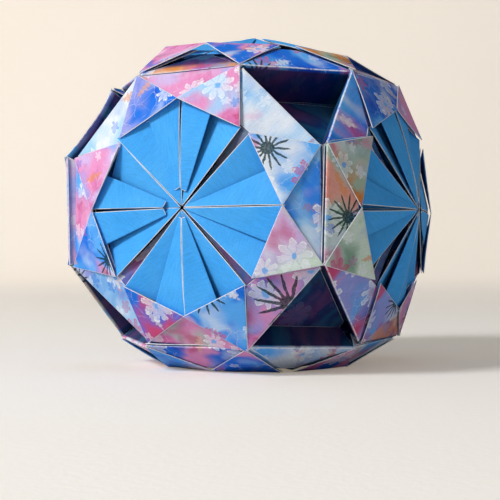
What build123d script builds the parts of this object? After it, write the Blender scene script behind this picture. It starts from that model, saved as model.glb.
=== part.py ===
from build123d import *
import os

# Kusudama paper ball: twelve folded paper units, one along each edge of a rounded cube.
# Each unit is one sheet, folded so that half of it lies on each of two neighbouring faces.
# A half is drawn in its face's own frame: X runs from the face's middle to the unit's crease,
# Y runs along the crease, and Z stands out of the ball, all measured from the ball's centre.

# Paper, both measured along the normal of the cube's face that the layer lies on
paper = 0.24           # thickness of the sheet
layer = 0.4            # from the middle of one folded layer to the middle of the next

# Crease where the two halves of a unit meet
crease_reach = 23.6    # from the ball's centre to the crease, along both faces' normals
crease_half = 9.6      # half of the crease's length, from its middle to a tip beside a pit

# Printed flaps, from the notch over a petal pair's axis out to their corner
notch_out = 17.9
corner_out = 12.8
corner_side = 11.5
corner_rise = 4.6      # how far the corners stand above the crease
notch_drop = 0.45      # how far the notch lies below the corners
corner_height = crease_reach + corner_rise

# Blue petals that meet at the middle of a face
petal_start = 0.35     # gap between a petal's point and the face's axis
pleat_share = 0.53     # where the pleat's fold meets the flap's base, from notch to corner
flat_rise = 0.05       # how far the points stand above the notches on the front, back and bottom
side_rise = 3.75       # the same on the left and right faces, which bulge
top_rise = 4.55        # the same on the top face

# Bands between neighbouring units, and the strip that runs on under the petals' gap
tuck = 0.45            # how far a band dips to pass under the neighbour's flap
tab_share = 0.5        # how far the band's tab reaches under that flap
strip_start = 2.2      # from the face's axis to the strip's inner end
strip_half = 1.0       # half of the strip's width at its inner end
strip_drop = 1.1       # how far the strip's inner end lies below the petals

# Three-sided pits at the cube's corners
upper_pit_depth = 8.3
lower_pit_depth = 5.6
tip_gap = 0.8          # from a folded rim's end to the next unit's tip

# The left face's front and top units stand open: their left halves' creases are further out
left_front_lift = 2.8
left_top_lift = 2.4

# The flap corners under the ball are pressed flat where they carry it
pressed = 0.15
rest_height = corner_height - pressed

face_normals = {
    "front": Vector(0, -1, 0),
    "right": Vector(1, 0, 0),
    "back": Vector(0, 1, 0),
    "left": Vector(-1, 0, 0),
    "top": Vector(0, 0, 1),
    "bottom": Vector(0, 0, -1),
}
face_rises = {
    "front": flat_rise,
    "right": side_rise,
    "back": flat_rise,
    "left": side_rise,
    "top": top_rise,
    "bottom": flat_rise,
}
crease_lifts = {
    ("left", "front"): left_front_lift,
    ("left", "top"): left_top_lift,
}
unit_faces = [
    ("front", "right"),
    ("right", "back"),
    ("back", "left"),
    ("left", "front"),
    ("front", "top"),
    ("back", "top"),
    ("front", "bottom"),
    ("back", "bottom"),
    ("right", "top"),
    ("left", "top"),
    ("right", "bottom"),
    ("left", "bottom"),
]


# Points of a half, in its face's frame
def lowered(point, drop):
    return point - Vector(0, 0, drop)


def between(start, end, share):
    return start + (end - start) * share


def swapped(point):
    """The same point of the neighbouring half, across the face's diagonal."""
    return Vector(point.Y, point.X, point.Z)


def tip(side, lift=0):
    return Vector(crease_reach, side * crease_half, crease_reach + lift)


def corner(side):
    return Vector(corner_out, side * corner_side, corner_height)


notch = Vector(notch_out, 0, corner_height - notch_drop)
notch_low = lowered(notch, 3 * layer)
pit_axis = Vector(1, 1, 1).normalized()


def sheet(*corners):
    """Add one flat layer of paper to the part, as thick to either side of its corners."""
    across = (corners[1] - corners[0]).cross(corners[2] - corners[0])
    plane = Plane(origin=corners[0], x_dir=corners[1] - corners[0], z_dir=across)
    with BuildSketch(plane) as outline:
        with BuildLine():
            Polyline(*[plane.to_local_coords(point) for point in corners], close=True)
        make_face()
    extrude(outline.sketch, amount=paper / 2, dir=(0, 0, 1), both=True)


def skin(lift, other_lift):
    """The printed half rhombus and its two flaps, which fold back over the petals."""
    sheet(notch, tip(1, lift), tip(-1, lift))
    for side in (1, -1):
        sheet(notch, corner(side), tip(side, lift))

    # Where the unit's other half stands further out, the sheet runs on to that half's crease
    if other_lift > lift:
        beyond = Vector(other_lift, 0, -lift)
        sheet(tip(1, lift), tip(-1, lift), tip(-1, lift) + beyond, tip(1, lift) + beyond)


def petals(rise):
    """Two blue petals, each a layer that is pleated back and out again along the axis."""
    point = Vector(petal_start, 0, notch.Z + rise)
    for side in (1, -1):
        outer = lowered(corner(side), 2 * layer if side > 0 else layer)
        fold = lowered(between(notch_low, outer, pleat_share), -layer)
        sheet(point, notch_low, outer)
        sheet(point, notch_low, fold)
        sheet(point, fold, lowered(notch, layer))


def lining(lift):
    """The layer under the print, which carries the petals and the band."""
    sheet(notch_low, tip(1, lift), tip(-1, lift))
    sheet(notch_low, lowered(corner(1), 2 * layer), tip(1, lift))


def sunk(point, depth):
    """The point moved straight into the pit until it lies at this depth below the tips."""
    rim = tip(1).dot(pit_axis)
    return point - pit_axis * (point.dot(pit_axis) - rim + depth)


def band(rise, depth, lift, next_lift):
    """The band to the neighbouring unit, with its tab, its strip and its side of the pit."""
    start = tip(1, lift)
    beside_next = tip(1, next_lift)
    rim_run = (swapped(beside_next) - beside_next).length
    end = lowered(between(beside_next, swapped(beside_next), 1 - tip_gap / rim_run), tuck)
    inner = lowered(corner(1), 2 * layer)
    far_share = (swapped(inner) - inner).length / (rim_run - tip_gap)
    far = lowered(swapped(inner), tuck * far_share)
    sheet(inner, start, end)
    sheet(inner, end, far)

    # Tab under the neighbour's flap
    flap_middle = between(end, far, 0.5)
    tab_end = between(flap_middle, lowered(swapped(notch), 1.5 * layer), tab_share)
    sheet(far, end, tab_end)

    # Strip under the open gap between the two units' petals
    diagonal = Vector(1, 1, 0).normalized()
    aside = (inner - far).normalized()
    run = strip_start / (diagonal.dot(corner(1)))
    gap_height = notch.Z + rise + (notch_drop - rise) * run - strip_drop
    strip_end = diagonal * strip_start + Vector(0, 0, gap_height)
    sheet(inner, far, strip_end - aside * strip_half, strip_end + aside * strip_half)

    # Rim folded into the pit, and the floor that it carries
    floor_start = sunk(between(start, end, tip_gap / (end - start).length), depth)
    floor_end = sunk(end, depth)
    sheet(start, end, floor_end, floor_start)
    third_tip = sunk(Vector(crease_reach, crease_reach, crease_half), depth)
    floor_middle = between(floor_start, floor_end, 0.5)
    floor_run = (floor_middle - third_tip).length
    sheet(floor_start, floor_end, between(third_tip, floor_middle, 2 * tip_gap / floor_run))


def half_unit(rise, depth, lift, next_lift, other_lift):
    with BuildPart() as half:
        skin(lift, other_lift)
        petals(rise)
        lining(lift)
        band(rise, depth, lift, next_lift)
    return half.part


def crease_lift(face, other):
    return crease_lifts.get((face, other), 0)


# Halves are alike apart from the height of their petals, their pit's depth and lifted creases
halves = {}
face_names = {tuple(normal): face for face, normal in face_normals.items()}
os.makedirs("parts", exist_ok=True)
for first, second in unit_faces:
    name = f"unit_{first}_{second}"
    with BuildPart() as unit:
        for face, other in ((first, second), (second, first)):
            along = face_normals[face].cross(face_normals[other])
            order = [abs(along.Z), abs(along.X), abs(along.Y)].index(1)
            is_upper = (face_normals[face] + face_normals[other] + along).Z > 0
            depth = (upper_pit_depth if is_upper else lower_pit_depth) + order * layer
            following = face_names[tuple(along)]
            lifts = (crease_lift(face, other), crease_lift(face, following), crease_lift(other, face))
            kind = (face_rises[face], depth, *lifts)
            if kind not in halves:
                halves[kind] = half_unit(*kind)
            place = Plane(
                origin=(0, 0, rest_height),
                x_dir=face_normals[other],
                z_dir=face_normals[face],
            )
            with Locations(place):
                add(halves[kind])
        if "bottom" in (first, second):
            split(bisect_by=Plane.XY, keep=Keep.TOP)
    unit.part.label = name
    export_step(unit.part, f"parts/{name}.step")
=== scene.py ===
import math

import bpy
import numpy as np
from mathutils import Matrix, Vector


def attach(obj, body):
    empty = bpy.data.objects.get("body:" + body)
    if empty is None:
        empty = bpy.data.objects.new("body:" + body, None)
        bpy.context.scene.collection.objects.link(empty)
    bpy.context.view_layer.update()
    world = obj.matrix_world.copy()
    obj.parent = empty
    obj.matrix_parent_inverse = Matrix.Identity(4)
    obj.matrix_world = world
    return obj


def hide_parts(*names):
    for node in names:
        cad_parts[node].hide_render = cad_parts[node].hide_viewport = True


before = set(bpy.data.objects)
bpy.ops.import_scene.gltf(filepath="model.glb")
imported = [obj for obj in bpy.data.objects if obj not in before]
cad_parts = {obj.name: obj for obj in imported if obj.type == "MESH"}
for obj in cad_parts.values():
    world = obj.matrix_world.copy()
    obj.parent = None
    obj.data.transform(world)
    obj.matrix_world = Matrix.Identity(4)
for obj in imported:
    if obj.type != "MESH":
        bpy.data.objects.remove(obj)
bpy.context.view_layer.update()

# A kusudama ball of twelve folded paper units. The ball's lengths are millimetres until its meshes
# are written. Those of the stage, the camera and the lamp are metres.
# A half unit is drawn in its face's own frame: X from the face's middle to the unit's crease,
# Y along the crease, Z out of the ball, all measured from the ball's centre.
MM = 0.001
REST_HEIGHT = 28.05    # of the ball's centre

# Paper
PAPER = 0.15           # thickness of the sheet
LAYER = 0.42           # from one folded layer's middle to the next
CUT_BEVEL = 0.09       # how far a cut edge's white core stands out of the layer
RIM_ANGLE = 50         # degrees from an edge's middle to where it turns into the layer's faces
SHARP_ANGLE = 55       # degrees above which a mesh's edge is shaded as sharp
WAVES = (9, 20)        # shortest and longest ripple in paper that was handled
PRINT_SPREAD = 400     # the layers' prints come from a pattern this wide

# Nominal folds, as in the frame's solids
CREASE_REACH = 23.6    # from the ball's centre to the crease, along both faces' normals
CREASE_HALF = 9.6      # half of the crease's length, from its middle to a tip
NOTCH = np.array([17.9, 0.0, 27.75])
CORNER = np.array([12.8, 11.5, 28.2])
PLEAT_SHARE = 0.53     # where the pleat's fold meets the flap's base, from notch to corner
TIP_GAP = 0.8          # from a band's end to the next unit's tip
PIT_DEPTHS = {True: 8.3, False: 5.6}    # upper pits are deeper than the lower ones
LIFTS = {("left", "front"): 2.8, ("left", "top"): 2.4}    # creases that lie further out

# Height of the petals' points on each face
MIDDLES = {
    "front": 27.8,
    "right": 31.45,
    "back": 27.8,
    "left": 31.45,
    "top": 32.2,
    "bottom": 27.8,
}

# Hand folding
UNEVEN = 0.3           # most that a point is off along the face, where MOVED doesn't list it
PRESSED = 0.42         # how far the notch stands off the rhombus below it
STANDING = {("top", "front"): 2.2, ("top", "right"): 1.4}    # where it isn't pressed down
FLAP_LIFTS = (0.0, 0.25)        # how far a printed flap's notch end is lifted
FLAP_BELLIES = (-0.05, 0.15)    # how far its other edge bulges

# Petals
POINT_OUT = 0.35       # from the face's middle to a petal's point, along the petals' axis
POINT_ASIDE = 0.1      # from the axis to the point
ROOT_DROP = 3.4        # how far the outer layer dips below the notch, at the petals' axis
ROOT_OUT = 0.6         # how far it runs on beyond the notch
ROOT_ASIDE = 0.03      # from the axis to its root
OPEN_DIP = 0.5         # how far an edge that is drawn back dips, for each millimetre
FOLD_OUT = 0.6         # how far the pleat's fold runs on under the printed flap
FOLD_CLEAR = 0.65      # how far the fold's end stays below that flap's edge
NARROW_RISE = 0.25     # how far the narrow flap's point lies above the petal's
NARROW_OUT = 0.3       # how far the narrow flap runs on beyond the notch
NARROW_SWELL = 0.35    # how far it bulges
NARROW_ROWS, NARROW_COLUMNS = 16, 10
SLIT = 0.25            # how far its edge stands off the axis
BLUNT = 0.06           # how far from the middle it starts, as a share of its length
AXIS_DROPS = (0.4, 1.0)    # see "axis" at PETALS
FOLD_LIFTS = (0.0, 0.6)    # see "fold" at PETALS
BACK_PAINTED_SHADE = 0.6       # how much painted shade darkens the print on the petals' backs

# Inner layers
LINING_DROP = 0.6      # how far the lining lies below the tips, under the rhombus
BESIDE_DROP = 0.3      # the same beside the band
PLY_HEIGHT = 20.0      # of the outermost inner ply
PLY_STEP = 0.5         # from one unit's inner ply to the next
PLY_POINT = 0.4        # from the face's middle to the ply's point
PLY_FAN = ((11.3, -11.3), (17.5, -4.0), (17.5, 4.0), (11.3, 11.3))

# Slit along the crease
RHOMBUS_DROP = 0.14    # how far the rhombus lies below the tips
RHOMBUS_WIDER = (0.9, 0.1)    # how far it runs on sideways, at the notch and at the crease
SLIT_HALF = 0.3        # half of its width
SLIT_DEPTH = 2.3
SLIT_LENGTH = 0.86     # of its bottom, as a share of the crease
LIP_BEND = 0.2         # how far the sheet runs on at the crease before it turns in

# Bands, their strips and the pits
BAND_INSET = 0.03      # how far a band's far edge starts beyond the flap's corner, as a share
TAB_REACH = 0.85       # how far its tab reaches under that flap, as a share
RIM_RADIUS = 0.28      # of the fold at a pit's rim
WALL_INSET = 0.06      # how far the pit's wall starts beyond the tip, as a share of the rim
FLOOR_REACH = 0.93     # how far the pit's floor reaches to the third tip, as a share
WRAP_ORDER = {"top": 0, "bottom": 0, "left": 1, "right": 1, "front": 2, "back": 2}
SAGS = {("left", "front"): 1.3}    # how far a rim sags in its middle
BAND_COLUMNS = 18
STRIP_START = 1.2      # from the face's middle to the strip's inner end
STRIP_HALF = 0.5       # half of the strip's width there
STRIP_DROP = 1.5       # how far that end lies below the petals
STRIP_SAG = 0.5        # how far it sags in its middle
STRIP_PAINTED_SHADE = 0.85     # how much painted shade darkens a strip's print
STRIP_PAINTED_SHADES = {("front", "left"): 0.4}    # the same where it differs

# Seeds of the random draws
FOLDS_SEED = 7
SHEET_SEED = 100

NORMALS = {
    "front": (0, -1, 0),
    "right": (1, 0, 0),
    "back": (0, 1, 0),
    "left": (-1, 0, 0),
    "top": (0, 0, 1),
    "bottom": (0, 0, -1),
}
UNIT_FACES = [
    ("front", "right"), ("right", "back"), ("back", "left"), ("left", "front"),
    ("front", "top"), ("back", "top"), ("front", "bottom"), ("back", "bottom"),
    ("right", "top"), ("left", "top"), ("right", "bottom"), ("left", "bottom"),
]

# How far hand folding moved each half's points from the nominal ones, in the half's own frame
MOVED = {
    ("front", "right"): {
        "notch": (0.4, 0.1, 0), "corner+": (-0.3, 0.2, 0), "corner-": (0.3, 0, 0),
        "tip+": (-0.5, 0.2, 0), "tip-": (-0.1, 0.2, 0),
    },
    ("right", "front"): {
        "notch": (0, 0.1, 0), "corner+": (0, 0.4, 0), "corner-": (0.5, -0.3, -0.15),
        "tip+": (0, -0.2, 0.2), "tip-": (-0.6, -0.3, 0.5),
    },
    ("front", "top"): {
        "notch": (0.2, 0.9, 0), "corner+": (-0.85, 0.45, 0), "corner-": (0, 0.6, 0),
        "tip+": (-0.5, 1.7, 0), "tip-": (0, 1.1, 0),
    },
    ("top", "front"): {
        "notch": (0, -0.9, 1.1), "corner+": (0, -0.6, 0.2), "corner-": (0, -0.6, 1.7),
        "tip+": (-0.2, -1.1, 0.1), "tip-": (-0.5, -1.7, 0),
    },
    ("front", "bottom"): {
        "notch": (0, 0.35, 0), "corner+": (-0.1, 0.3, 0), "corner-": (0.4, 0.4, 0),
        "tip+": (0.2, 0.4, 0), "tip-": (-0.7, 0.4, 0),
    },
    ("front", "left"): {
        "notch": (0.1, 0.3, 0), "corner+": (0, 0, 0), "corner-": (-0.9, 0.35, 0),
        "tip+": (1.1, 0.4, 0), "tip-": (0.85, 0.35, 0),
    },
    ("left", "front"): {
        "notch": (0, 0, 0.8), "corner+": (0, 0, 0.6), "corner-": (0, 0, 0.5),
        "tip+": (0, 0, 0.2), "tip-": (0, 0, -0.4),
    },
    ("left", "top"): {
        "notch": (0, 0, 0.6), "corner+": (0, 0, 0), "corner-": (0, 0, 0.5),
        "tip+": (0, 0, 0), "tip-": (0, 0, 0),
    },
    ("right", "top"): {
        "notch": (-0.3, 0.45, -0.2), "corner+": (0.45, 1.3, -0.4), "corner-": (0.5, 0, 0),
        "tip+": (0, 1.0, -0.35), "tip-": (0, -1.2, 0.4),
    },
    ("right", "bottom"): {
        "notch": (-0.5, 0, 0), "corner+": (-0.2, -1.2, -0.6), "corner-": (-0.2, 0.7, 0.3),
        "tip+": (-0.7, 1.0, 0.6), "tip-": (-0.6, 0.9, 0.6),
    },
}

# Petals that aren't folded like the others. blunt: see BLUNT. root: see ROOT_DROP. slit: see SLIT.
# axis: how far the narrow flap's edge along the axis lies below the notch.
# fold: how far its fold is lifted off the outer layer.
# open: how far its free edge is drawn back from the gap to the next unit's petal.
PETALS = {
    ("front", "top", 1): {"blunt": 0.17, "axis": 1.1, "fold": 0.1, "root": 2.2, "open": -0.6},
    ("front", "top", -1): {"blunt": 0.15, "axis": 1.2, "fold": 1.4, "root": 4.8},
    ("front", "right", 1): {"blunt": 0.02, "axis": 0.4, "fold": 0.5, "root": 5.2, "slit": 0.12},
    ("front", "right", -1): {"blunt": 0.02, "axis": 0.45, "fold": 0.3, "slit": 0.12},
    ("front", "left", 1): {"blunt": 0.17, "axis": 0.6, "fold": 1.0, "root": 4.4, "slit": 0.3},
    ("front", "left", -1): {"blunt": 0.18, "axis": 0.8, "fold": 0.6, "root": 4.6, "slit": 0.4},
    ("front", "bottom", 1): {"blunt": 0.08, "axis": 0.5, "fold": 1.0, "root": 4.8, "slit": 0.06},
    ("front", "bottom", -1): {"blunt": 0.08, "axis": 0.5, "fold": 0.1, "slit": 0.06},
    ("right", "front", 1): {"axis": 1.3, "fold": 0.8, "root": 5.5, "open": 1.5, "slit": 0.6},
    ("right", "front", -1): {"axis": 1.3, "fold": 0.9, "root": 5.5, "open": 1.2, "slit": 0.6},
    ("right", "top", 1): {"fold": 1.0, "root": 5.0, "open": 0.8},
    ("right", "bottom", -1): {"fold": 1.0, "root": 5.0, "open": 1.0},
}

# Finishes, in the order of each mesh's material slots
BLUE, PRINT, EDGE = 0, 1, 2

CUT_ROUND = ("cut", "cut", "cut", "cut")


def linear(red, green, blue):
    """A colour as it looks, 0 to 255, as the linear values that a shader takes."""
    parts = (red / 255, green / 255, blue / 255)
    return tuple(((c + 0.055) / 1.055) ** 2.4 if c > 0.04 else c / 12.92 for c in parts)


# Inks
WHITE = linear(222, 230, 242)
PALE_SKY = linear(158, 204, 244)
SKY = linear(88, 170, 244)
AZURE = linear(22, 112, 222)
LAVENDER = linear(146, 154, 222)
LILAC = linear(206, 182, 228)
PINK = linear(226, 146, 196)
ROSE = linear(200, 74, 122)
SALMON = linear(226, 156, 142)
ORANGE = linear(224, 146, 78)
SAGE = linear(164, 192, 176)
MINT = linear(212, 230, 216)
# Dark colours of the painted shade, used only where the print turns to night colours
SHADE_NAVY = linear(4, 34, 92)
SHADE_PLUM = linear(78, 44, 100)
SHADE_TEAL = linear(10, 78, 118)
FOREST = linear(4, 50, 54)
CHALK = linear(240, 244, 250)
# White of the paper's core where ink cracked at a fold, also the colour of the painted highlight
# along folds
CORE = linear(240, 240, 240)

# Main inks of each half that shows in the photo: flap+, flap-, rhombus and band
INKS = {
    ("front", "top"): ((LAVENDER, AZURE), (PALE_SKY, PINK), (PINK, LILAC), (WHITE, PALE_SKY)),
    ("top", "front"): ((AZURE, PINK), (PINK, AZURE), (SKY, ORANGE), (SKY, AZURE)),
    ("front", "right"): ((SKY, WHITE), (LILAC, MINT), (SKY, PALE_SKY), (PALE_SKY, WHITE)),
    ("right", "front"): ((SAGE, MINT), (ORANGE, SAGE), (SALMON, SAGE), (ROSE, LAVENDER)),
    ("front", "bottom"): ((AZURE, SKY), (ROSE, AZURE), (PINK, SAGE), (LAVENDER, PINK)),
    ("front", "left"): ((AZURE, SKY), (PINK, LILAC), (PINK, SKY), (LAVENDER, PALE_SKY)),
    ("left", "front"): ((SKY, LILAC), (SKY, LAVENDER), (LILAC, SKY), (LAVENDER, SKY)),
    ("left", "top"): ((LAVENDER, SKY), (PALE_SKY, LAVENDER), (LAVENDER, SKY), (PALE_SKY, SKY)),
    ("right", "top"): ((SKY, AZURE), (PINK, LAVENDER), (AZURE, LAVENDER), (AZURE, SKY)),
    ("top", "right"): ((ORANGE, WHITE), (ORANGE, SAGE), (SAGE, PINK), (SKY, AZURE)),
    ("right", "bottom"): ((LAVENDER, PINK), (LAVENDER, ROSE), (SALMON, LAVENDER), (ROSE, AZURE)),
}
OTHER_INKS = [
    (LAVENDER, PALE_SKY), (PINK, WHITE), (SKY, LILAC),
    (AZURE, PINK), (SALMON, MINT), (SKY, WHITE),
]


def unit(vector):
    return vector / np.linalg.norm(vector)


def mix(start, end, share):
    return start + (end - start) * share


def lowered(point, drop):
    return point - np.array([0.0, 0.0, drop])


def smooth(share):
    share = np.clip(share, 0, 1)
    return share * share * (3 - 2 * share)


def ink(colours, painted_shade=0.0):
    """What a layer is printed with: its two washes, and how much painted shade turns its print to
    night colours.
    """
    return np.array([*colours[0], *colours[1], painted_shade])


class Half:
    """Where the points of one half of a unit lie, in the half's own frame, and its inks."""

    def __init__(self, face, other, rng):
        self.pair = (face, other)
        normal, along = np.array(NORMALS[face], float), np.array(NORMALS[other], float)
        self.place = np.stack([along, np.cross(normal, along), normal], 1)
        self.middle = MIDDLES[face]
        moved = MOVED.get(self.pair, {})
        reach = CREASE_REACH + LIFTS.get(self.pair, 0.0)

        def point(key, nominal):
            shift = rng.uniform(-UNEVEN, UNEVEN, 3) * (1, 1, 0.5)
            return np.array(nominal, float) + np.array(moved.get(key, shift))

        self.notch = point("notch", NOTCH)
        self.corner = {1: point("corner+", CORNER), -1: point("corner-", CORNER * (1, -1, 1))}
        self.tip = {1: point("tip+", (CREASE_REACH, CREASE_HALF, reach)),
                    -1: point("tip-", (CREASE_REACH, -CREASE_HALF, reach))}
        self.root = lowered(self.notch, STANDING.get(self.pair, PRESSED))
        others = [OTHER_INKS[k] for k in rng.integers(0, len(OTHER_INKS), 4)]
        flap_up, flap_down, self.rhombus_inks, self.band_inks = INKS.get(self.pair, others)
        self.flap_inks = {1: flap_up, -1: flap_down}

    def seen_by(self, neighbour, point):
        """This half's point in a neighbour's frame."""
        return neighbour.place.T @ (self.place @ point)


class Folded:
    """The layers of one folded sheet, gathered into one mesh."""

    def __init__(self, seed):
        self.rng = np.random.default_rng(seed)
        self.points, self.faces, self.finish = [], [], []
        self.paper_at, self.crack, self.ink = [], [], []
        self.count = 0
        self.place = np.eye(3)

    def put(self, points, paper_at, crack, inks):
        """Adds points, given in the half's frame, and returns the index of the first."""
        first = self.count
        self.points.append(points @ self.place.T)
        self.paper_at.append(paper_at)
        self.crack.append(crack)
        self.ink.append(inks)
        self.count += len(points)
        return first

    def layer(self, points, faces, border, kinds, outside, inks, crack=None):
        """One closed layer around a middle surface.

        border runs round the surface, and kinds name each of its steps, "cut" or "fold".
        outside is the finish that faces out of the ball. The other side gets the other finish.
        """
        a, b, c = (points[i] for i in faces[0][:3])
        if np.cross(b - a, c - a).dot(a) < 0:
            faces = [tuple(reversed(face)) for face in faces]
            border = border[::-1]
            kinds = kinds[-2::-1] + kinds[-1:]
        normals = np.zeros_like(points)
        for face in faces:
            a, b, c = points[face[0]], points[face[1]], points[face[-1]]
            normals[list(face)] += np.cross(b - a, c - a)
        normals /= np.linalg.norm(normals, axis=1)[:, None] + 1e-12
        flat = self.flatten(points)
        crack = np.zeros(len(points)) if crack is None else crack
        inks = np.tile(inks, (len(points), 1)) if inks.ndim == 1 else inks
        half = PAPER / 2
        top = self.put(points + normals * half, flat, crack, inks)
        under = self.put(points - normals * half, flat, np.zeros(len(points)), inks)
        inside = PRINT if outside == BLUE else BLUE
        for face in faces:
            self.faces.append(tuple(top + i for i in face))
            self.finish.append(outside)
            self.faces.append(tuple(under + i for i in reversed(face)))
            self.finish.append(inside)
        self.rim(points, normals, flat, inks, border, kinds, top, under, outside)

    def rim(self, points, normals, flat, inks, border, kinds, top, under, outside):
        """Closes the layer round its border: white where it was cut, rounded where folded."""
        border = np.array(border)
        ahead = points[np.roll(border, -1)] - points[np.roll(border, 1)]
        out = np.cross(ahead, normals[border])
        out /= np.linalg.norm(out, axis=1)[:, None] + 1e-12
        folded = np.array([kind == "fold" for kind in kinds])
        near = folded | np.roll(folded, 1)
        rows = [border + top]
        for angle in (RIM_ANGLE, 0, -RIM_ANGLE):
            reach = np.where(near, PAPER / 2, CUT_BEVEL) * math.cos(math.radians(angle))
            rise = PAPER / 2 * math.sin(math.radians(angle))
            at = points[border] + out * reach[:, None] + normals[border] * rise
            # Along a fold, white of cracked ink at the rim's middle and fainter beside it, with a
            # painted highlight on the fold's curve
            crack = np.where(near, 1.0 if angle == 0 else 0.3, 0.0)
            rows.append(self.put(at, flat[border], crack, inks[border]) + np.arange(len(border)))
        rows.append(border + under)
        for upper, lower in zip(rows, rows[1:]):
            for k in range(len(border)):
                j = (k + 1) % len(border)
                self.faces.append((upper[k], lower[k], lower[j], upper[j]))
                self.finish.append(outside if folded[k] else EDGE)

    def flatten(self, points):
        """Where the layer lies on the flat sheet, in millimetres."""
        centre = points.mean(0)
        _, _, axes = np.linalg.svd(points - centre, full_matrices=False)
        turn = self.rng.uniform(0, 2 * math.pi)
        flat = (points - centre) @ axes[:2].T
        c, s = math.cos(turn), math.sin(turn)
        return flat @ np.array([[c, s], [-s, c]]) + self.rng.uniform(0, PRINT_SPREAD, 2)

    def ripple(self, points, amount):
        """Slow uneven waves, as in paper that was handled."""
        total = np.zeros(len(points))
        for _ in range(3):
            wave = self.rng.normal(size=3)
            wave *= 2 * math.pi / self.rng.uniform(*WAVES) / np.linalg.norm(wave)
            total += np.sin(points @ wave + self.rng.uniform(0, 2 * math.pi))
        return total * amount / 2

    def triangle(self, corners, outside, inks, count=18, shape=None, ripple=0.05):
        """A three-cornered layer, cut all round. shape: its height from the corners' shares."""
        a, b, c = corners
        spots = [(i, j) for i in range(count + 1) for j in range(i + 1)]
        number = {spot: k for k, spot in enumerate(spots)}
        i, j = np.array(spots, float).T / count
        weights = np.stack([1 - i, i - j, j], 1)
        points = weights @ np.array([a, b, c])
        across = unit(np.cross(b - a, c - a))
        across = across * np.sign(across.dot(a))
        offset = self.ripple(points, ripple)
        if shape is not None:
            offset = offset + shape(weights)
        points = points + offset[:, None] * across
        faces = []
        for i, j in spots:
            if i < count:
                faces.append((number[i, j], number[i + 1, j], number[i + 1, j + 1]))
                if j < i:
                    faces.append((number[i, j], number[i + 1, j + 1], number[i, j + 1]))
        border = [number[i, 0] for i in range(count)]
        border += [number[count, j] for j in range(count)]
        border += [number[i, i] for i in range(count, 0, -1)]
        self.layer(points, faces, border, ["cut"] * len(border), outside, inks)

    def patch(self, points, kinds, outside, inks, crack=None):
        """A four-sided layer from rows of points.

        kinds name the first row, the last column, the last row and the first column.
        """
        rows, columns = points.shape[:2]
        number = np.arange(rows * columns).reshape(rows, columns)
        faces = []
        for r in range(rows - 1):
            for c in range(columns - 1):
                faces.append((number[r, c], number[r, c + 1],
                              number[r + 1, c + 1], number[r + 1, c]))
        border = list(number[0, :-1]) + list(number[:-1, -1])
        border += list(number[-1, :0:-1]) + list(number[:0:-1, 0])
        lengths = (columns - 1, rows - 1, columns - 1, rows - 1)
        steps = [kind for kind, length in zip(kinds, lengths) for _ in range(length)]
        inks = inks.reshape(-1, 7) if inks.ndim == 3 else inks
        crack = None if crack is None else crack.reshape(-1)
        self.layer(points.reshape(-1, 3), faces, border, steps, outside, inks, crack)

    def mesh(self, name, materials):
        points = np.concatenate(self.points)
        points[:, 2] = np.maximum(points[:, 2] + REST_HEIGHT, 0.0)
        data = bpy.data.meshes.new(name)
        data.from_pydata((points * MM).tolist(), [], self.faces)
        for material in materials:
            data.materials.append(material)
        data.polygons.foreach_set("material_index", np.array(self.finish, np.int32))
        data.polygons.foreach_set("use_smooth", np.ones(len(self.faces), bool))
        corner_points = np.zeros(len(data.loops), np.int32)
        data.loops.foreach_get("vertex_index", corner_points)
        paper_at = np.concatenate(self.paper_at).astype(np.float32)
        paper_map = data.uv_layers.new(name="paper")
        paper_map.uv.foreach_set("vector", paper_at[corner_points].ravel())
        inks = np.concatenate(self.ink).astype(np.float32)
        for key, values in (("wash_one", inks[:, :3]), ("wash_two", inks[:, 3:6])):
            attribute = data.attributes.new(key, "FLOAT_VECTOR", "POINT")
            attribute.data.foreach_set("vector", values.ravel())
        # The shader reads two values for each point: white along folds, partly cracked ink and
        # partly a painted highlight, and how much painted shade darkens the print
        for key, values in (("crack", np.concatenate(self.crack)), ("painted_shade", inks[:, 6])):
            attribute = data.attributes.new(key, "FLOAT", "POINT")
            attribute.data.foreach_set("value", values.astype(np.float32))
        data.set_sharp_from_angle(angle=math.radians(SHARP_ANGLE))
        piece = bpy.data.objects.new(name, data)
        bpy.context.scene.collection.objects.link(piece)
        return piece


def ruled(lines, columns):
    """Rows of points, one along each line."""
    share = np.linspace(0, 1, columns + 1)[:, None]
    return np.stack([start + (end - start) * share for start, end in lines])


def flaps(sheet, half):
    """The two printed flaps that lie over the petals' roots."""
    for side in (1, -1):
        lift = sheet.rng.uniform(*FLAP_LIFTS)
        belly = sheet.rng.uniform(*FLAP_BELLIES)

        def shape(w):
            return lift * w[:, 0] ** 2 + belly * 4 * w[:, 1] * w[:, 2]

        corners = [half.notch, half.corner[side], half.tip[side]]
        sheet.triangle(corners, PRINT, ink(half.flap_inks[side]), shape=shape)


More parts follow.
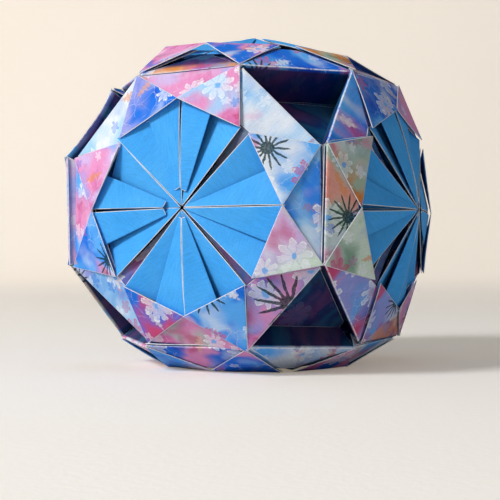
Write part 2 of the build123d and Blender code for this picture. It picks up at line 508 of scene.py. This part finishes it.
def petals(sheet, half):
    """Two blue petals, each pleated so that a narrow flap lies over its outer layer."""
    # The petals' printed backs get painted shade
    plain = ink(half.rhombus_inks, BACK_PAINTED_SHADE)
    for side in (1, -1):
        form = PETALS.get((*half.pair, side), {})
        axis_drop = form.get("axis", sheet.rng.uniform(*AXIS_DROPS))
        fold_lift = form.get("fold", sheet.rng.uniform(*FOLD_LIFTS))
        drawn_back = form.get("open", 0.0)
        root_drop = form.get("root", ROOT_DROP)

        # Outer layer
        point = np.array([POINT_OUT, POINT_ASIDE * side, half.middle])
        back = np.array([0.0, side * drawn_back, LAYER + OPEN_DIP * drawn_back])
        gap_corner = half.corner[side] - back
        root = np.array([half.notch[0] + ROOT_OUT, half.notch[1] + ROOT_ASIDE * side,
                         NOTCH[2] - root_drop])
        sheet.triangle([point, gap_corner, root], BLUE, plain, ripple=0.06)

        # Narrow flap, from the axis to the pleat's fold
        low = mix(root, gap_corner, PLEAT_SHARE)
        fold = low + np.array([FOLD_OUT, 0.0, LAYER + fold_lift])
        flap_edge = mix(half.notch, half.corner[side], PLEAT_SHARE)
        fold[2] = min(fold[2], flap_edge[2] - FOLD_CLEAR)
        axis_root = np.array([half.notch[0] + NARROW_OUT,
                              half.notch[1] + side * form.get("slit", SLIT),
                              NOTCH[2] - axis_drop])
        start = lowered(point, -NARROW_RISE)
        shares = np.linspace(form.get("blunt", BLUNT), 1, NARROW_ROWS + 1)
        lines = [(mix(start, axis_root, s), mix(start, fold, s)) for s in shares]
        flap = ruled(lines, NARROW_COLUMNS)
        across = unit(np.cross(fold - start, axis_root - start))
        across = across * np.sign(across.dot(start))
        s, t = shares[:, None], np.linspace(0, 1, NARROW_COLUMNS + 1)[None, :]
        swell = NARROW_SWELL * smooth(4 * s * (1 - s) * (1 - t))
        swell = swell + sheet.ripple(flap.reshape(-1, 3), 0.08).reshape(swell.shape)
        flap = flap + swell[:, :, None] * across
        sheet.patch(flap, ("cut", "fold", "fold", "cut"), BLUE, plain)


def lining(sheet, half):
    """The layer under the print, which carries the petals and the band."""
    root = lowered(half.root, 2 * LAYER)
    # Painted shade: the lining's print is fully darkened under the rhombus, half beside the band
    corners = [root, lowered(half.tip[-1], LINING_DROP), lowered(half.tip[1], LINING_DROP)]
    sheet.triangle(corners, PRINT, ink(half.rhombus_inks, 1.0), count=8)
    corners = [root, lowered(half.corner[1], 2 * LAYER), lowered(half.tip[1], BESIDE_DROP)]
    sheet.triangle(corners, PRINT, ink(half.band_inks, 0.5), count=8)


def inner_ply(sheet, half):
    """The sheet's inner fold, which closes the ball behind the petals."""
    height = PLY_HEIGHT - PLY_STEP * WRAP_ORDER[half.pair[1]]
    point = np.array([PLY_POINT, 0.0, height])
    fan = [np.array([x, y, height]) for x, y in PLY_FAN]
    # The inner ply's print gets full painted shade
    for one, other in zip(fan, fan[1:]):
        sheet.triangle([point, one, other], PRINT, ink(half.rhombus_inks, 1.0), count=4)


def band(sheet, half, next_half, sag):
    """The band to the next unit, its side and floor of the pit, its tab and its strip."""
    pit_axis = unit(np.array([1.0, 1.0, 1.0]))
    rim_height = np.array([CREASE_REACH, CREASE_HALF, CREASE_REACH]).dot(pit_axis)
    up = (half.place @ pit_axis)[2] > 0
    depth = PIT_DEPTHS[up] + LAYER * WRAP_ORDER[half.pair[1]]
    start = half.tip[1]
    near_tip = lowered(next_half.seen_by(half, next_half.tip[-1]), LAYER)
    near_corner = next_half.seen_by(half, next_half.corner[-1])
    near_notch = next_half.seen_by(half, next_half.notch)
    end = mix(start, near_tip, 1 - TIP_GAP / np.linalg.norm(near_tip - start))
    inner = lowered(half.corner[1], 2 * LAYER)
    far = lowered(mix(near_corner, near_tip, BAND_INSET), 2 * LAYER)

    def sunk(point, drop):
        return point - pit_axis * (point.dot(pit_axis) - rim_height + drop)

    # The sheet runs from the petals' gap over the rim, down the pit's wall and to its middle
    lines = [(mix(inner, start, s), mix(far, end, s)) for s in np.linspace(0, 1, 10)[:-1]]
    cracks = [0.0] * len(lines)
    back = unit(mix(inner, far, 0.5) - mix(start, end, 0.5))
    for angle in (0, 22, 45, 68, 90):
        turn = math.radians(angle)
        shift = (back * RIM_RADIUS * (1 - math.sin(turn))
                 - pit_axis * RIM_RADIUS * (1 - math.cos(turn)))
        lines.append((start + shift, end + shift))
        # The rim's fold is marked white at 22 and 45 degrees: cracked ink and a painted highlight
        # on its curve
        cracks.append(1.0 if angle in (22, 45) else 0.0)
    band_rows = len(lines)
    wall_start, wall_end = sunk(mix(start, end, WALL_INSET), depth), sunk(end, depth)
    for s in np.linspace(0.1, 1, 9):
        lines.append((mix(start, wall_start, s), mix(end, wall_end, s)))
    third = sunk(np.array([CREASE_REACH, CREASE_REACH, CREASE_HALF]), depth)
    for s in np.linspace(0.1, FLOOR_REACH, 8):
        lines.append((mix(wall_start, third, s), mix(wall_end, third, s)))
    cracks += [0.0] * (len(lines) - band_rows)

    # It sags most at the rim's middle
    points = ruled(lines, BAND_COLUMNS)
    arch = np.sin(np.linspace(0, math.pi, BAND_COLUMNS + 1))
    dip = arch[None, :, None] * back * sag
    weight = np.array([smooth(r / band_rows) if r < band_rows else smooth(1 - (r - band_rows) / 8)
                       for r in range(len(lines))])
    points = points + dip * weight[:, None, None]
    points[:band_rows] += (sheet.ripple(points[:band_rows].reshape(-1, 3), 0.06)
                           .reshape(band_rows, -1)[:, :, None] * np.array([0, 0, 1.0]))
    crack = np.repeat(np.array(cracks)[:, None], BAND_COLUMNS + 1, 1)
    inks = np.tile(ink(half.band_inks), (len(lines), BAND_COLUMNS + 1, 1))
    # The pit's wall and floor get full painted shade
    inks[band_rows:, :, 6] = 1.0
    sheet.patch(points, CUT_ROUND, PRINT, inks, crack)

    # Tab under the next unit's flap
    tab_end = mix(mix(end, far, 0.5), lowered(near_notch, 1.8 * LAYER), TAB_REACH)
    sheet.triangle([far, tab_end, end], PRINT, ink(half.band_inks), count=8)

    # Strip that runs on under the open gap between the petals
    diagonal = unit(np.array([1.0, 1.0, 0.0]))
    aside = unit(inner - far) * STRIP_HALF
    run = STRIP_START / diagonal.dot(CORNER)
    height = half.middle + (CORNER[2] - half.middle) * run - STRIP_DROP
    strip_end = diagonal * STRIP_START + np.array([0, 0, height])
    lines = [(mix(inner, strip_end + aside, s), mix(far, strip_end - aside, s))
             for s in np.linspace(0, 1, 14)]
    strip = ruled(lines, 6)
    strip[:, :, 2] -= STRIP_SAG * np.sin(np.linspace(0, math.pi, 14))[:, None]
    # The strip's print gets painted shade, as it lies under the gap
    night_shade = STRIP_PAINTED_SHADES.get(half.pair, STRIP_PAINTED_SHADE)
    sheet.patch(strip, CUT_ROUND, PRINT, ink(half.band_inks, night_shade))


def rhombus(sheet, first, second):
    """The printed rhombus of both halves, one sheet that dips into the slit along the crease."""
    share = np.linspace(0, 1, 21)[:, None]
    depths = np.linspace(0.02, 1, 14)

    def side(half):
        """Rows in the ball's frame from the notch to the crease, from the half's tip- to tip+."""
        rows = []
        low, high = lowered(half.tip[-1], RHOMBUS_DROP), lowered(half.tip[1], RHOMBUS_DROP)
        for s in depths:
            wider = np.array([0, mix(*RHOMBUS_WIDER, s), 0])
            left, right = mix(half.root, low, s) - wider, mix(half.root, high, s) + wider
            slip = np.array([-SLIT_HALF * s, 0, 0])
            rows.append((left + slip + (right - left) * share) @ half.place.T)
        return rows

    one = side(first)
    two = [row[::-1] for row in side(second)]
    inward = -unit(first.place @ np.array([1.0, 0.0, 1.0]))
    bottom = (one[-1] + two[-1]) / 2
    middle = bottom.mean(0)
    bottom = middle + (bottom - middle) * SLIT_LENGTH + inward * SLIT_DEPTH

    def lip(rows):
        """The sheet's turn from the crease's edge into the slit."""
        edge, ahead = rows[-1], unit((rows[-1] - rows[-2]).mean(0))
        bend = edge + ahead * LIP_BEND
        return [(1 - t) ** 2 * edge + 2 * t * (1 - t) * bend + t * t * bottom
                for t in (0.12, 0.26, 0.42, 0.6, 0.8)]

    rows = one + lip(one) + [bottom] + lip(two)[::-1] + two[::-1]
    points = np.stack(rows)
    crack = np.zeros(points.shape[:2])
    # Both lips at the crease are marked white: cracked ink and a painted highlight on the fold
    crack[len(one)] = 0.7
    crack[-len(two) - 1] = 0.7
    inks = np.zeros((*points.shape[:2], 7))
    inks[:] = ink(first.rhombus_inks)
    inks[len(points) // 2:] = ink(second.rhombus_inks)

    # Where the flaps stand off the rhombus, its hidden part gets painted shade in night colours
    last = len(points) - 1
    for half, at in ((first, range(len(one))), (second, range(last, last - len(two), -1))):
        if half.pair in STANDING:
            for r, s in zip(at, depths):
                inks[r, :, 6] = smooth((0.85 - s) / 0.3)
    sheet.place = np.eye(3)
    sheet.patch(points, CUT_ROUND, PRINT, inks, crack)


# Materials

class Nodes:
    """Short calls for building a material's nodes."""

    def __init__(self, name):
        self.material = bpy.data.materials.new(name)
        self.material.use_nodes = True
        self.tree = self.material.node_tree
        self.tree.nodes.clear()

    def add(self, kind, inputs=(), **settings):
        node = self.tree.nodes.new("ShaderNode" + kind)
        for key, value in settings.items():
            setattr(node, key, value)
        for key, value in dict(inputs).items():
            self.feed(node.inputs[key], value)
        return node

    def feed(self, socket, value):
        if isinstance(value, bpy.types.NodeSocket):
            self.tree.links.new(value, socket)
        elif isinstance(value, bpy.types.Node):
            self.tree.links.new(value.outputs[0], socket)
        elif isinstance(value, tuple) and len(value) == 3 and socket.type == "RGBA":
            socket.default_value = (*value, 1)
        else:
            socket.default_value = value

    def math(self, operation, a, b=0.0, c=0.0, clamp=False):
        inputs = {0: a, 1: b, 2: c}
        return self.add("Math", inputs, operation=operation, use_clamp=clamp).outputs[0]

    def times(self, a, b):
        return self.math("MULTIPLY", a, b)

    def vector(self, operation, a, b=(0.0, 0.0, 0.0)):
        node = self.add("VectorMath", {0: a}, operation=operation)
        self.feed(node.inputs["Scale" if operation == "SCALE" else 1], b)
        return node.outputs[1] if operation == "LENGTH" else node.outputs[0]

    def noise(self, at, scale, detail=2.0, roughness=0.5):
        """A noise node: outputs[0] is its value, outputs[1] its colour."""
        inputs = {"Vector": at, "Scale": scale, "Detail": detail, "Roughness": roughness}
        return self.add("TexNoise", inputs)

    def shifted(self, at, x, y):
        return self.vector("ADD", at, (x, y, 0.0))

    def stretched(self, at, x, y):
        return self.add("Mapping", {"Vector": at, "Scale": (x, y, 1.0)})

    def step(self, value, low, high):
        """0 below low, 1 above high, smooth between."""
        return self.add("MapRange", {"Value": value, "From Min": low, "From Max": high},
                        interpolation_type="SMOOTHSTEP").outputs[0]

    def blend(self, share, a, b, kind="MIX"):
        node = self.add("Mix", data_type="RGBA", blend_type=kind)
        self.feed(node.inputs[0], share)
        self.feed(node.inputs[6], a)
        self.feed(node.inputs[7], b)
        return node.outputs[2]

    def ramp(self, value, stops):
        node = self.add("ValToRGB", {"Fac": value})
        elements = node.color_ramp.elements
        node.color_ramp.interpolation = "EASE"
        while len(elements) < len(stops):
            elements.new(0.5)
        for element, (position, colour) in zip(elements, stops):
            element.position = position
            element.color = (*colour, 1)
        return node.outputs[0]

    def attribute(self, name, output="Fac"):
        return self.add("Attribute", attribute_name=name).outputs[output]

    def toned(self, colour, tone):
        grey = self.add("CombineColor", {0: tone, 1: tone, 2: tone}).outputs[0]
        return self.blend(1.0, colour, grey, "MULTIPLY")

    def worn_and_highlit(self, at, low, high):
        """Where the ink cracked along a fold, with a painted highlight along the fold's curve."""
        patchy = self.noise(at, 1.3, 3.0).outputs[0]
        return self.times(self.attribute("crack"), self.step(patchy, low, high))

    def surface(self, colour, roughness, bump_height, bump_distance):
        bump = self.add("Bump", {"Height": bump_height, "Distance": bump_distance,
                                 "Strength": 1.0})
        shader = self.add("BsdfPrincipled", {"Base Color": colour, "Roughness": roughness,
                                             "Specular IOR Level": 0.15, "Normal": bump})
        output = self.add("OutputMaterial", {"Surface": shader})
        return shader, output


def paper_grain(n, at):
    """Fibre and faint laid lines, about 0.5 in the middle."""
    lines = n.noise(n.stretched(at, 2.2, 0.25), 1.6, 2.0, 0.6)
    fibre = n.noise(at, 3.5, 4.0, 0.7)
    return n.times(n.math("ADD", lines, fibre), 0.5)


def blue_paper():
    n = Nodes("blue_paper")
    at = n.add("UVMap", uv_map="paper").outputs[0]
    grain = paper_grain(n, at)
    cloud = n.noise(at, 0.12).outputs[0]
    base = n.blend(n.step(cloud, 0.3, 0.7), linear(62, 162, 240), linear(74, 170, 242))
    colour = n.toned(base, n.math("MULTIPLY_ADD", grain, 0.9, 0.55))
    worn_and_highlit = n.worn_and_highlit(at, 0.35, 0.6)
    # Paler blue along folds: cracked dye and a painted highlight on the fold's curve
    colour = n.blend(n.times(worn_and_highlit, 0.35), colour, linear(170, 215, 250))
    n.surface(colour, 0.7, grain, 0.00004)
    return n.material


def blossoms(n, at, size, petals, share, seed, slim=0.6):
    """Flat flowers: where they are, their middles, their veins, and a random value for each.

    size is a flower's cell and share how many cells hold one. A higher slim has slimmer petals.
    """
    scaled = n.vector("SCALE", n.shifted(at, seed, seed * 0.7), 1.0 / size)
    cells = n.add("TexVoronoi", {"Vector": scaled, "Scale": 1.0, "Randomness": 0.75},
                  voronoi_dimensions="2D", feature="F1")
    spoke = n.vector("SUBTRACT", scaled, cells.outputs["Position"])
    parts = n.add("SeparateXYZ", {0: spoke})
    random = n.add("SeparateColor", {0: cells.outputs["Color"]})
    angle = n.math("ARCTAN2", parts.outputs[1], parts.outputs[0])
    turned = n.math("MULTIPLY_ADD", random.outputs[0], 6.28, angle)
    lobes = n.math("ABSOLUTE", n.math("COSINE", n.times(turned, petals / 2)))
    reach = n.math("MULTIPLY_ADD", n.math("POWER", lobes, slim), 0.24, 0.1)
    reach = n.times(reach, n.math("MULTIPLY_ADD", random.outputs[1], 0.5, 0.75))
    radius = n.vector("LENGTH", spoke)
    depth = n.math("SUBTRACT", reach, radius)
    outline, inside = n.step(depth, 0.0, 0.02), n.step(depth, 0.02, 0.05)
    flower = n.math("SUBTRACT", outline, n.times(inside, 0.45))
    there = n.math("LESS_THAN", random.outputs[2], share)
    middle = n.step(radius, 0.075, 0.05)
    veins = n.times(n.step(lobes, 0.6, 0.25), n.step(radius, 0.3, 0.1))
    return n.times(flower, there), n.times(middle, there), veins, random.outputs[0]


def leaves(n, at, size, share, seed):
    """Slim leaves with ribs: where they are, and a random value for each."""
    scaled = n.vector("SCALE", n.shifted(at, seed, -seed * 0.6), 1.0 / size)
    cells = n.add("TexVoronoi", {"Vector": scaled, "Scale": 1.0, "Randomness": 0.9},
                  voronoi_dimensions="2D", feature="F1")
    spoke = n.vector("SUBTRACT", scaled, cells.outputs["Position"])
    random = n.add("SeparateColor", {0: cells.outputs["Color"]})
    turn = n.times(random.outputs[0], 6.28)
    turned = n.add("VectorRotate", {"Vector": spoke, "Angle": turn}, rotation_type="Z_AXIS")
    parts = n.add("SeparateXYZ", {0: turned})
    along = n.times(parts.outputs[0], 2.6)
    width = n.math("SUBTRACT", 1.0, n.times(along, along), clamp=True)
    wave = n.math("COSINE", n.times(parts.outputs[0], 55.0))
    ribs = n.math("MULTIPLY_ADD", wave, 0.25, 0.75)
    edge = n.times(n.times(width, 0.13), ribs)
    depth = n.math("SUBTRACT", edge, n.math("ABSOLUTE", parts.outputs[1]))
    there = n.math("LESS_THAN", random.outputs[2], share)
    return n.times(n.step(depth, 0.0, 0.03), there), random.outputs[1]


def printed_paper():
    n = Nodes("printed_paper")
    at = n.add("UVMap", uv_map="paper").outputs[0]
    wash_one, wash_two = n.attribute("wash_one", "Vector"), n.attribute("wash_two", "Vector")
    grey = (0.5, 0.5, 0.5)

    # Two washes that run into each other, with white left between them and pools of stronger ink
    bend = n.vector("SCALE", n.vector("SUBTRACT", n.noise(at, 0.15).outputs[1], grey), 6.0)
    wet = n.vector("ADD", at, bend)
    flow = n.noise(wet, 0.085).outputs[0]
    colour = n.blend(n.step(flow, 0.44, 0.56), wash_one, wash_two)
    pale = n.noise(n.shifted(wet, 71.0, 13.0), 0.11).outputs[0]
    colour = n.blend(n.times(n.step(pale, 0.54, 0.68), 0.6), colour, WHITE)
    pool = n.noise(n.shifted(wet, 17.0, 55.0), 0.12, 3.0, 0.55).outputs[0]
    deep = n.blend(1.0, colour, colour, "MULTIPLY")
    colour = n.blend(n.times(n.step(pool, 0.5, 0.64), 0.65), colour, deep)
    spill = n.noise(n.shifted(wet, 39.0, 91.0), 0.1).outputs[0]
    tint = n.ramp(spill, [(0.30, SKY), (0.42, LAVENDER), (0.62, PINK), (0.72, ROSE)])
    aside = n.math("ABSOLUTE", n.math("SUBTRACT", spill, 0.5))
    colour = n.blend(n.times(n.step(aside, 0.08, 0.2), 0.7), colour, tint)

    # Leaves, daisies, rayed stars and small flowers, brushed on with uneven edges
    uneven = n.vector("SUBTRACT", n.noise(at, 0.9, 3.0, 0.6).outputs[1], grey)
    brushed = n.vector("ADD", at, n.vector("SCALE", uneven, 1.3))
    drag = n.step(n.noise(at, 2.6, 3.0, 0.7).outputs[0], 0.36, 0.56)
    dry = n.math("MULTIPLY_ADD", drag, 0.35, 0.65)
    leaf, kind = leaves(n, brushed, size=7.0, share=0.4, seed=31.0)
    tint = n.ramp(kind, [(0.0, AZURE), (0.35, ORANGE), (0.6, WHITE), (0.9, ROSE)])
    colour = n.blend(n.times(leaf, n.times(dry, 0.7)), colour, tint)
    daisy, middle, veins, kind = blossoms(n, brushed, size=8.0, petals=8, share=0.55, seed=5.0)
    tint = n.ramp(kind, [(0.0, CHALK), (0.7, CHALK), (0.8, ROSE)])
    colour = n.blend(n.times(daisy, dry), colour, tint)
    colour = n.blend(n.times(n.times(daisy, veins), 0.45), colour, LAVENDER)
    colour = n.blend(n.times(middle, 0.8), colour, SKY)
    steady = n.vector("ADD", at, n.vector("SCALE", uneven, 0.45))
    star = blossoms(n, steady, size=12.0, petals=14, share=0.13, seed=67.0, slim=5.0)[0]
    solid = n.times(n.math("POWER", star, 0.15), n.math("MULTIPLY_ADD", dry, 0.5, 0.5))
    colour = n.blend(solid, colour, FOREST)
    small, _, _, kind = blossoms(n, brushed, size=3.2, petals=5, share=0.2, seed=40.0)
    tint = n.ramp(kind, [(0.0, CHALK), (0.5, CHALK), (0.6, ROSE), (0.8, AZURE)])
    colour = n.blend(n.times(small, 0.75), colour, tint)

    # Fine white crackle, as where wax broke under the dye
    cells = n.add("TexVoronoi", {"Vector": brushed, "Scale": 0.42, "Randomness": 1.0},
                  voronoi_dimensions="2D", feature="DISTANCE_TO_EDGE")
    line = n.step(cells.outputs["Distance"], 0.035, 0.01)
    some = n.step(n.noise(n.shifted(at, 23.0, 77.0), 0.13).outputs[0], 0.5, 0.6)
    colour = n.blend(n.times(n.times(line, some), 0.28), colour, CHALK)

    # Painted shade: in pits, hidden strips, undersides and inner layers the print turns to dark
    # night colours, with faint flowers
    stripes = n.noise(n.stretched(wet, 0.3, 1.0), 0.16).outputs[0]
    night_shade = [(0.30, SHADE_NAVY), (0.42, SHADE_TEAL), (0.5, SHADE_NAVY), (0.6, SHADE_PLUM), (0.7, SHADE_NAVY)]
    night_shade = n.ramp(stripes, night_shade)
    night_shade = n.blend(n.times(n.math("MAXIMUM", daisy, star), 0.1), night_shade, SKY)
    colour = n.blend(n.times(n.attribute("painted_shade"), 0.96), colour, night_shade)

    # Pigment that settled in the grain, and white along folds: the paper's core where the ink
    # cracked, and a painted highlight on the fold's curve
    grain = paper_grain(n, at)
    colour = n.toned(colour, n.math("MULTIPLY_ADD", grain, 0.6, 0.7))
    colour = n.blend(n.times(n.worn_and_highlit(at, 0.3, 0.55), 0.8), colour, CORE)
    n.surface(colour, 0.6, grain, 0.00003)
    return n.material


def cut_edge():
    n = Nodes("cut_edge")
    at = n.add("UVMap", uv_map="paper").outputs[0]
    fibre = n.noise(at, 4.0, 3.0, 0.6).outputs[0]
    stain = n.noise(at, 0.25).outputs[0]
    white = n.ramp(fibre, [(0.3, linear(214, 214, 216)), (0.7, linear(240, 240, 240))])
    stained = n.times(n.step(stain, 0.5, 0.64), 0.4)
    colour = n.blend(stained, white, linear(120, 176, 226))
    n.surface(colour, 0.85, fibre, 0.00004)
    return n.material


def backdrop_paper():
    """Pale paper that looks creamier and brighter to the camera than its light makes it."""
    n = Nodes("backdrop_paper")
    at = n.add("TexCoord").outputs["Object"]
    tone = n.noise(at, 6.0).outputs[0]
    colour = n.blend(n.step(tone, 0.3, 0.7), linear(222, 221, 220), linear(226, 225, 224))
    shader, output = n.surface(colour, 0.9, n.noise(at, 900.0).outputs[0], 0.00005)

    # The glow grows with the distance, is weaker towards +X and +Y, as the photo's background is
    # darker at the right, and is held down where the lamp lights the backdrop
    x, y, _ = n.add("SeparateXYZ", {0: at}).outputs
    away = n.step(n.vector("LENGTH", at), 0.1, 0.75)
    strength = n.math("MULTIPLY_ADD", away, 0.31, 0.24)
    strength = n.math("MULTIPLY_ADD", x, -0.24, strength)
    strength = n.math("MULTIPLY_ADD", y, -0.12, strength)
    limit = n.math("MULTIPLY_ADD", n.step(y, -0.5, 0.7), 0.5, 0.12)
    strength = n.math("MINIMUM", strength, limit)
    glow = n.add("Emission", {"Color": (1.0, 0.84, 0.66), "Strength": strength})
    unseen = n.add("Emission", {"Strength": 0.0})
    to_camera = n.add("LightPath").outputs["Is Camera Ray"]
    shown = n.add("MixShader", {0: to_camera, 1: unseen, 2: glow})
    both = n.add("AddShader", {0: shader, 1: shown})
    n.tree.links.new(both.outputs[0], output.inputs["Surface"])
    return n.material


# Units

def build_units():
    materials = [blue_paper(), printed_paper(), cut_edge()]
    rng = np.random.default_rng(FOLDS_SEED)
    halves = {}
    for one, other in UNIT_FACES:
        halves[one, other] = Half(one, other, rng)
        halves[other, one] = Half(other, one, rng)
    faces_by_normal = {normal: face for face, normal in NORMALS.items()}
    for number, (one, other) in enumerate(UNIT_FACES):
        sheet = Folded(SHEET_SEED + number)
        for pair in ((one, other), (other, one)):
            half = halves[pair]
            sheet.place = half.place
            beside = faces_by_normal[tuple(int(v) for v in np.rint(half.place[:, 1]))]
            flaps(sheet, half)
            petals(sheet, half)
            lining(sheet, half)
            inner_ply(sheet, half)
            band(sheet, half, halves[pair[0], beside], SAGS.get(pair, 0.0))
        rhombus(sheet, halves[one, other], halves[other, one])
        name = f"unit_{one}_{other}"
        piece = sheet.mesh("paper_" + name, materials)
        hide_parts(name)
        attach(piece, "root")


# Stage: one seamless sheet, flat under the ball and curving up all round

FLOOR_RADIUS = 0.6
BEND_RADIUS = 0.4
WALL_HEIGHT = 2.2
STAGE_STEPS = 96       # points round each of its rings


def build_stage():
    profile = [(r, 0.0) for r in (0.0, 0.1, 0.3, FLOOR_RADIUS)]
    for turn in np.radians(range(6, 91, 6)):
        profile.append((FLOOR_RADIUS + BEND_RADIUS * math.sin(turn),
                        BEND_RADIUS * (1 - math.cos(turn))))
    profile.append((FLOOR_RADIUS + BEND_RADIUS, WALL_HEIGHT))
    steps = STAGE_STEPS
    points = [(0.0, 0.0, 0.0)]
    for radius, height in profile[1:]:
        for k in range(steps):
            turn = 2 * math.pi * k / steps
            points.append((radius * math.cos(turn), radius * math.sin(turn), height))
    faces = [(0, 1 + k, 1 + (k + 1) % steps) for k in range(steps)]
    for ring in range(len(profile) - 2):
        a, b = 1 + ring * steps, 1 + (ring + 1) * steps
        faces += [(a + k, b + k, b + (k + 1) % steps, a + (k + 1) % steps)
                  for k in range(steps)]
    data = bpy.data.meshes.new("backdrop")
    data.from_pydata(points, [], faces)
    data.polygons.foreach_set("use_smooth", np.ones(len(faces), bool))
    data.materials.append(backdrop_paper())
    backdrop = bpy.data.objects.new("backdrop", data)
    bpy.context.scene.collection.objects.link(backdrop)


def build_camera():
    """The camera where the ball's outline and flap corners fit those in the photo."""
    data = bpy.data.cameras.new("camera")
    data.sensor_width = 36
    data.lens = 83.2
    data.clip_start = 0.005    # the nearest floor in the view is under 0.1 m away
    camera = bpy.data.objects.new("camera", data)
    camera.location = (0.0959, -0.1931, 0.02105)
    camera.rotation_euler = (math.radians(90), 0, math.radians(26.75))
    bpy.context.scene.collection.objects.link(camera)
    bpy.context.scene.camera = camera


def area_light(name, towards, distance, size, power, colour):
    """A soft square light that shines on the ball from one side."""
    data = bpy.data.lights.new(name, "AREA")
    data.size = size
    data.energy = power
    data.color = colour
    light = bpy.data.objects.new(name, data)
    target = Vector((0, 0, REST_HEIGHT * MM))
    light.location = target + Vector(towards).normalized() * distance
    light.rotation_mode = "QUATERNION"
    light.rotation_quaternion = (target - light.location).to_track_quat("-Z", "Y")
    bpy.context.scene.collection.objects.link(light)


def build_light():
    """One warm lamp, above and to the left of the camera, and a cooler light from all round."""
    area_light("key", towards=(-0.4, -0.76, 0.6), distance=0.8, size=0.2, power=5.5,
               colour=(1.0, 0.985, 0.96))
    world = bpy.data.worlds.new("world")
    world.use_nodes = True
    background = world.node_tree.nodes["Background"]
    background.inputs["Color"].default_value = (0.82, 0.93, 1.0, 1)
    background.inputs["Strength"].default_value = 0.34
    bpy.context.scene.world = world
    bpy.context.scene.view_settings.view_transform = "Standard"


build_units()
build_stage()
build_camera()
build_light()
